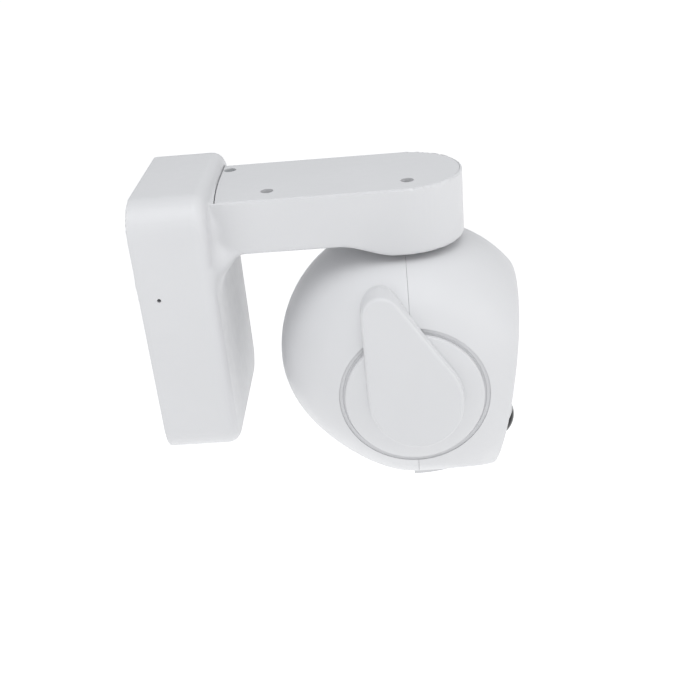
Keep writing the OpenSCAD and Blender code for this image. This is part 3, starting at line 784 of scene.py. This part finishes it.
def screw_head(radius, height):
    """Domed head with a cross recess, standing on z = 0."""
    profile = [(0, height)]
    for angle in range(15, 91, 15):
        a = math.radians(angle)
        profile.append((radius * math.sin(a), height * (0.55 + 0.45 * math.cos(a))))
    profile += [(radius, 0.15), (radius - 0.15, 0), (0, 0)]
    head = turned("head", profile, 48)
    arm = rounded_rectangle(radius * 1.15, radius * 0.26, radius * 0.1, 3)
    for turn in (0, 90):
        slot = prism("cutter", arm, height * 0.35, height + 1)
        cut(head, place(slot, Matrix.Rotation(math.radians(turn), 4, "Z")))
    return head


def make_screw(spot, head_r, head_h, shank_r, length):
    """Upright cross headed screw; spot is under its head."""
    pitch = shank_r * 0.55
    turns = int(length / pitch)
    profile = [(0, -length)]
    for i in range(turns):
        z = -length + i * pitch
        profile += [(shank_r * 0.78, z + 0.05 * pitch), (shank_r, z + 0.5 * pitch)]
    profile += [(shank_r * 0.8, 0.05), (0, 0.05)]
    piece = screw_head(head_r, head_h)
    fuse(piece, turned("shank", profile, 24))
    return place(piece, moved(*spot) @ turn_z_to((0, 0, 1)))


def make_arm_cover_screws():
    """One screw in each recess; the third is hidden under the cap."""
    screws = [make_screw((x, y, RECESS_FLOOR), 2.3, 1.7, 1.0, 8) for x, y in SCREW_SPOTS]
    piece = join_pieces("arm_cover_screw_set", screws)
    finish_piece(piece, "wall_mount", "screw", "arm_cover_screws")


def make_screw_cap():
    """Grey plug just below the mouth of the third recess."""
    x, y = SCREW_SPOTS[2]
    top = ARM_TOP - 0.35
    foot = top - 2.0
    profile = [(0, top), (1.9, top), (2.25, top - 0.12), (2.4, top - 0.4), (2.4, foot), (0, foot)]
    piece = place(turned("screw_cap_plug", profile, 48), moved(x, y, 0))
    finish_piece(piece, "wall_mount", "cap", "screw_cap")


def make_power_inlet():
    """Flat power socket with a rounded metal shell and a tongue."""
    low, high = cad_size("power_inlet")
    middle = (low + high) / 2
    shell = prism("power_inlet_shell", rounded_rectangle(3.2, 8.9, 1.5), low.z, high.z)
    cut(shell, prism("cutter", rounded_rectangle(2.5, 8.2, 1.2), low.z - 1, high.z - 2))
    fuse(shell, prism("tongue", rounded_rectangle(0.7, 6.4, 0.2, 3), low.z + 1.2, high.z - 1.5))
    place(shell, moved(middle.x, middle.y, 0))
    finish_piece(shell, "wall_mount", "steel", "power_inlet")


# ------------------------------------------------------------------ head shells
def head_reach(u, inset=0.0):
    """Distance from the tilt axis to the head's surface along each direction of u, an (n, 3) array.

    The head is a ball, cut by a leaning front face and a flat top, with a slightly domed face at each
    side. Each cut is blended in by a high power, which rounds its edge.
    """
    x, y, z = u.T
    side = np.hypot(x, z) + 1e-9
    jaw = np.where(x > 0, ramp(-z / side / JAW_SLOPE), 0)
    heel = 1 + HEEL * ramp(-z / side) * ramp(-x / side)
    ahead = np.sqrt(1 - JAW_WIDEN * jaw) * x / (HEAD_REAR - inset)
    flank = heel * np.hypot(ahead, z / (HEAD_DOWN - inset))
    ball = np.hypot(flank, y / (HEAD_SIDE - inset))
    front = np.maximum(0, x * math.cos(FRONT_LEAN) - z * math.sin(FRONT_LEAN)) / (HEAD_FRONT - inset)
    cut_ball = (ball ** FRONT_EDGE + front ** FRONT_EDGE) ** (1 / FRONT_EDGE)
    off = DOME_R - DOME_APEX + JAW_FLATTEN * jaw
    rise = np.abs(y)
    dome = np.hypot(DISC_HOLE_R, DISC_RIM_Y + off) - inset
    flank_dome = np.sqrt((off * rise) ** 2 + dome ** 2 - off ** 2) - off * rise
    most = np.maximum(cut_ball, 1 / flank_dome)
    both = (cut_ball / most) ** SIDE_EDGE + (1 / flank_dome / most) ** SIDE_EDGE
    cut_ball = most * both ** (1 / SIDE_EDGE)
    lid = np.maximum(0, z) / (HEAD_TOP - inset)
    return 1 / (cut_ball ** TOP_EDGE + lid ** TOP_EDGE) ** (1 / TOP_EDGE)


def head_direction(theta, b):
    """theta is the angle from the near side's pole, b the angle round the tilt axis from straight ahead."""
    return np.stack([np.sin(theta) * np.cos(b), -np.cos(theta), np.sin(theta) * np.sin(b)], 1)


def solve_theta(b, wanted, measure, inset):
    """Angle from the near pole where measure(point) reaches the wanted value, by halving."""
    low = np.full(len(b), 0.02)
    high = np.full(len(b), math.pi / 2)
    for _ in range(40):
        middle = (low + high) / 2
        u = head_direction(middle, b)
        value = measure(u * head_reach(u, inset)[:, None])
        low = np.where(value < wanted, middle, low)
        high = np.where(value < wanted, high, middle)
    return (low + high) / 2


def shell_points(b, inset):
    """Grid of points for one half shell: a row for each b, from the near opening to the far one."""
    rim = solve_theta(b, DISC_HOLE_R, lambda p: np.hypot(p[:, 0], p[:, 2]), inset)
    slot = solve_theta(b, -SLOT_HALF, lambda p: p[:, 1], inset)
    side = [rim + (slot - rim) * i / SIDE_STEPS for i in range(SIDE_STEPS + 1)]
    middle = [slot + (math.pi - 2 * slot) * i / MIDDLE_STEPS for i in range(1, MIDDLE_STEPS)]
    far = [math.pi - theta for theta in reversed(side)]
    rows = []
    for theta in side + middle + far:
        u = head_direction(theta, b)
        rows.append(u * head_reach(u, inset)[:, None] + np.array(TILT_AXIS))
    return np.stack(rows, 1)


def make_shell(name, start, end, step, node):
    """Half shell between two angles about the tilt axis, with the lens slot and both side openings."""
    degrees = np.linspace(start, end, round((end - start) / step) + 1)
    outer = shell_points(np.radians(degrees), 0.0)
    inner = shell_points(np.radians(degrees), SHELL_T)
    rows, columns = outer.shape[:2]
    number = np.arange(rows * columns).reshape(rows, columns)
    quads = []
    for i in range(rows - 1):
        turned_to = (degrees[i] + degrees[i + 1]) / 2
        turned_to = (turned_to + 180) % 360 - 180
        in_slot = SLOT_BACK < turned_to < SLOT_UP
        for j in range(columns - 1):
            if in_slot and SIDE_STEPS <= j < SIDE_STEPS + MIDDLE_STEPS:
                continue
            quads.append((number[i, j], number[i, j + 1], number[i + 1, j + 1], number[i + 1, j]))
    count = rows * columns
    edges = dict.fromkeys(pair for quad in quads for pair in zip(quad, quad[1:] + quad[:1]))
    rims = [(b, a, a + count, b + count) for a, b in edges if (b, a) not in edges]
    inside = [tuple(count + v for v in reversed(quad)) for quad in quads]
    points = np.concatenate([outer.reshape(-1, 3), inner.reshape(-1, 3)])
    piece = new_piece(name, points, quads + inside + rims)
    drop_loose_points(piece)
    cut(piece, rod(PAN_X, 0, HEAD_Z + 30, HEAD_Z + 60, NECK_HOLE_R, 96))
    bevel(piece, 0.5, 3, 50)
    finish_piece(piece, "head", "white", node, angle=50)


def make_head_shells():
    """Rear and front half; the front one has finer steps round its sharper edges."""
    make_shell("head_rear_half", 90 + SEAM, 270 - SEAM, 2, "head_rear_shell")
    make_shell("head_front_half", SEAM - 90, 90 - SEAM, 0.75, "head_front_shell")


# ------------------------------------------------------------------ side cap and antenna
def dome_height(radius):
    """Distance from the middle plane to the dome at a distance from the tilt axis."""
    return DOME_APEX - DOME_R + math.sqrt(DOME_R ** 2 - radius ** 2)


def disc_height(radius):
    """Height of the antenna's own dome, which is flat where the antenna sits on it."""
    return min(DOME_FLAT, dome_height(radius))


def dome_profile(radius, edge, foot, height):
    """Profile of a domed disc: from its apex, round its edge and down to its foot."""
    inner = radius - edge
    profile = [(inner * i / 40, height(inner * i / 40)) for i in range(41)]
    slope = math.degrees(math.asin(inner / DOME_R))
    top = dome_height(inner)
    centre = (inner - edge * math.sin(math.radians(slope)), top - edge * math.cos(math.radians(slope)))
    profile += arc(centre, edge, 90 - slope - 6, 0, 8)
    wall_r = profile[-1][0]
    return profile + [(wall_r, foot + 0.3), (wall_r - 0.3, foot), (0, foot)]


def side_place(sign):
    """Carries a solid turned about Z to the head's side: +1 is the far side, -1 the near side."""
    return Matrix.Translation(TILT_AXIS) @ turn_z_to((0, sign, 0))


def make_side_cap():
    """Plain domed cap at the far side, with the foot ring that holds it in the shells."""
    cover = turned("side_cap_cover", dome_profile(DISC_R, DISC_EDGE, SEAT_Y - 4, dome_height), 128)
    low = SEAT_Y - 4.7
    high = low + 1.2
    foot = ring("rim", [(20, low), (30.2, low), (30.2, high), (20, high)], 128)
    parts = [place(cover, side_place(1)), place(foot, side_place(1))]
    piece = join_pieces("side_cap_cover", parts)
    finish_piece(piece, "head", "white", "side_cap")


def make_antenna_seat():
    """Dish under the antenna's disc, which is the floor of the groove round it."""
    face = SEAT_Y + 0.45
    under = SEAT_Y - 2.8
    shoulder = SEAT_Y - 3.5
    back = SEAT_Y - 4.7
    edge = DISC_HOLE_R - 0.04
    profile = [(SEAT_BORE_R, face), (DISC_R + 0.3, face)]
    profile += [(DISC_R + 0.6, face + 0.25), (edge - 0.3, face + 0.25), (edge, face + 0.45)]
    profile += [(edge, shoulder), (SEAT_FOOT_R, shoulder), (SEAT_FOOT_R, back)]
    profile += [(SEAT_RING_R, back), (SEAT_RING_R, under), (SEAT_BORE_R, under)]
    piece = place(ring("antenna_seat_dish", profile, 128), side_place(-1))
    finish_piece(piece, "head", "seat", "antenna_seat")


def make_antenna_disc():
    """Domed disc at the near side, flat where the lobe stands on it."""
    piece = turned("antenna_disc_cover", dome_profile(DISC_R, DISC_EDGE, SEAT_Y + 0.6, disc_height), 128)
    place(piece, side_place(-1))
    finish_piece(piece, "antenna", "white", "antenna_disc")


def paddle_outline(grow):
    """Points of the antenna's outline and the spine point that each belongs to."""
    big, tip = ANTENNA_BIG_R + grow, ANTENNA_TIP_R + grow
    lean = math.degrees(math.asin((big - tip) / ANTENNA_LEN))
    outline, spine = [], []
    for (centre, radius, start, end) in (
            ((0, 0), big, 180 - lean, 360 + lean), ((0, ANTENNA_LEN), tip, lean, 180 - lean)):
        points = arc(centre, radius, start, end, 28)
        outline += points
        spine += [centre] * len(points)
    long_outline, long_spine = [], []
    for i, (p, s) in enumerate(zip(outline, spine)):
        q, t = outline[(i + 1) % len(outline)], spine[(i + 1) % len(outline)]
        parts = 1 if s == t else 24
        for k in range(parts):
            f = k / parts
            long_outline.append((p[0] + (q[0] - p[0]) * f, p[1] + (q[1] - p[1]) * f))
            long_spine.append((s[0] + (t[0] - s[0]) * f, s[1] + (t[1] - s[1]) * f))
    return long_outline, long_spine


def paddle_point(u, v, depth):
    """Place of a point across u and along v the antenna, at a distance from the middle plane."""
    c, s = math.cos(ANTENNA_LEAN), math.sin(ANTENNA_LEAN)
    return (
        PAN_X + ANTENNA_AHEAD + u * c - v * s,
        -depth,
        HEAD_Z + ANTENNA_UP + u * s + v * c,
    )


def paddle_under(u, v):
    """Distance of the antenna's underside from the middle plane, just below the disc's surface."""
    x, _, z = paddle_point(u, v, 0)
    return disc_height(math.hypot(x - PAN_X, z - HEAD_Z)) - 0.05


def paddle_face(v):
    """Distance of the antenna's outer face, which slopes down to its tip."""
    return ANTENNA_FACE - ANTENNA_FACE_SLOPE * v


def make_antenna_paddle():
    """Teardrop lobe on the disc, built as loops from the middle of its underside to that of its face."""
    loops = []

    def loop(grow, inward, height):
        """One loop of points; inward 1 is the outline and 0 the spine."""
        outline, spine = paddle_outline(grow)
        row = []
        for (u, v), (cu, cv) in zip(outline, spine):
            u, v = cu + (u - cu) * inward, cv + (v - cv) * inward
            row.append(paddle_point(u, v, height(u, v)))
        loops.append(row)

    for i in range(7):
        loop(0, i / 6 * 0.97, paddle_under)
    for lift in (0.25, 0.5, 0.75):
        def wall(u, v, f=lift):
            return paddle_under(u, v) * (1 - f) + (paddle_face(v) - ANTENNA_EDGE) * f

        loop(0.35 * (1 - lift), 1, wall)
    for i in range(7):
        a = math.radians(15 * i)
        sink = ANTENNA_EDGE * (1 - math.sin(a))
        loop(-ANTENNA_EDGE * (1 - math.cos(a)), 1, lambda u, v, d=sink: paddle_face(v) - d)
    for i in range(1, 7):
        loop(-ANTENNA_EDGE, 1 - i / 6, lambda u, v: paddle_face(v))
    n = len(loops[0])
    points = [p for row in loops for p in row]
    faces = [
        (r * n + i, r * n + (i + 1) % n, (r + 1) * n + (i + 1) % n, (r + 1) * n + i)
        for r in range(len(loops) - 1)
        for i in range(n)
    ]
    piece = new_piece("antenna_paddle_lobe", points, faces)
    merge_close(piece, 0.004)
    finish_piece(piece, "antenna", "white", "antenna_paddle")


# ------------------------------------------------------------------ lens unit
def lens_matrix():
    """Place of the lens unit's own frame: X looks out of the lens."""
    return Matrix.Translation(TILT_AXIS) @ Matrix.Rotation(LENS_DOWN, 4, "Y")


def lens_outline():
    """Side view of the lens unit in its own frame, (x ahead, z up): a drum with a raised block."""
    face_end = -math.degrees(math.acos(FLAT_X / BLOCK_R))
    drum_start = math.degrees(math.asin(BLOCK_TOP / LENS_R))
    points = arc((0, 0), BLOCK_R, -BLOCK_ANGLE, face_end, 14)
    points.append((FLAT_X, BLOCK_TOP))
    return points + arc((0, 0), LENS_R, drum_start, 360 - BLOCK_ANGLE, 110)


def block_corner(side):
    """Cutter that rounds one upper corner of the lens block, seen from the front."""
    r = BLOCK_CORNER
    y, z = LENS_HALF - r, BLOCK_TOP - r
    outline = [(z + r + 1, y + r + 1), (z + r + 1, y)] + arc((z, y), r, 0, 90, 14) + [(z, y + r + 1)]
    outline = [(-a, side * b) for a, b in outline]
    cutter = prism("cutter", outline, LENS_R + 0.1, FLAT_X + 9)
    merge_close(cutter)
    return place(cutter, Matrix.Rotation(math.radians(90), 4, "Y"))


def make_lens_housing():
    """Drum with a raised block, cut open for the dome, the infrared window and the light sensor."""
    piece = prism("lens_unit_housing", lens_outline(), -LENS_HALF, LENS_HALF)
    place(piece, Matrix.Rotation(math.radians(90), 4, "X"))
    merge_close(piece)
    cut(piece, block_corner(-1), block_corner(1))
    bevel(piece, BLOCK_EDGE, 4, 30)
    ahead = Matrix.Rotation(math.radians(90), 4, "Y")
    cut(piece, place(rod(0, 0, 42, 60, LENS_DOME_R + 0.1, 96), ahead))
    pocket = prism("cutter", rounded_rectangle(8.6, 24.2, 2.1), FLAT_X - 1.3, 60)
    cut(piece, place(pocket, moved(0, 0, WINDOW_Z) @ ahead))
    sensor_hole = rod(0, 0, FLAT_X - 1.5, 60, SENSOR_HOLE_R, 32)
    cut(piece, place(sensor_hole, moved(0, SENSOR_Y, SENSOR_Z) @ ahead))
    place(piece, lens_matrix())
    finish_piece(piece, "lens_unit", "white", "lens_housing", flat=True)


def make_lens_bezel():
    """Gloss black ring round the dome."""
    low, high = FLAT_X + 0.02, FLAT_X + 1.4
    inner, outer = LENS_DOME_R + 0.12, BEZEL_R
    profile = [(inner, low), (outer, low)] + arc((outer - 0.7, high - 0.7), 0.7, 0, 90, 8)
    profile += arc((inner + 0.25, high - 0.25), 0.25, 90, 180, 4)
    piece = place(ring("lens_bezel_ring", profile, 128), lens_matrix() @ turn_z_to((1, 0, 0)))
    finish_piece(piece, "lens_unit", "bezel", "lens_bezel")


def sphere_arc(radius, base, start, end, steps):
    """Profile points on a sphere about (0, base), between two angles above its equator in degrees."""
    return [(radius * math.cos(math.radians(a)), base + radius * math.sin(math.radians(a)))
            for a in np.linspace(start, end, steps)]


def make_lens_dome():
    """Hollow smoked dome, one millimetre thick."""
    base = FLAT_X - 0.8
    foot = FLAT_X - 1
    inner = LENS_SPHERE_R - 1
    inner_foot = inner - 0.1
    start = math.degrees(math.acos(LENS_DOME_R / LENS_SPHERE_R))
    inner_start = math.degrees(math.acos(inner_foot / inner))
    outside = sphere_arc(LENS_SPHERE_R, base, 90, start, 28)
    within = sphere_arc(inner, base, inner_start, 90, 24)
    profile = outside + [(LENS_DOME_R, foot), (inner_foot, foot)] + within
    profile[0] = (0, profile[0][1])
    profile[-1] = (0, profile[-1][1])
    piece = place(turned("lens_dome_shell", profile, 128), lens_matrix() @ turn_z_to((1, 0, 0)))
    finish_piece(piece, "lens_unit", "dome", "lens_dome")


def make_ir_window():
    """Smoked window over the infrared lamps."""
    piece = prism("infrared_window", rounded_rectangle(8.4, 24, 2), FLAT_X - 1.1, FLAT_X + 0.35)
    bevel(piece, 0.3, 3)
    ahead = Matrix.Rotation(math.radians(90), 4, "Y")
    place(piece, lens_matrix() @ moved(0, 0, WINDOW_Z) @ ahead)
    finish_piece(piece, "lens_unit", "window", "ir_window")


# ------------------------------------------------------------------ CAD nodes that stay
CAD_FINISH = {
    "plate": ("wall_plate",),
    "steel": ("lock_screw", "rear_cover_screws", "hub_screws", "pan_motor", "tilt_motor", "antenna_screw"),
    "spring": ("pan_clip", "antenna_washer"),
    "white_cad": ("rear_cover", "pan_hub"),
    "board": ("main_board", "head_board", "sensor_board"),
    "black": ("speaker", "lens_barrel"),
    "cloth": ("microphone",),
    "ribbon": ("flex_cable",),
    "nylon": ("pan_pinion", "pan_gear", "pan_bush", "tilt_pinion", "tilt_gear", "tilt_bushes"),
    "grey": ("head_frame",),
    "copper": ("antenna_element",),
    "glass": ("lens_glass",),
    "led": ("ir_leds", "light_sensor"),
}


def finish_cad_nodes():
    """Gives each CAD node that stays its own material."""
    for finish, names in CAD_FINISH.items():
        for name in names:
            node = frame["nodes"][name]
            for slot in node.material_slots:
                slot.material = materials[finish]


make_camera()
make_light()
make_floor()
materials = make_materials()
make_main_housing()
make_arm_cover()
make_arm_cover_screws()
make_screw_cap()
make_power_inlet()
make_head_shells()
make_side_cap()
make_antenna_seat()
make_antenna_disc()
make_antenna_paddle()
make_lens_housing()
make_lens_bezel()
make_lens_dome()
make_ir_window()
finish_cad_nodes()
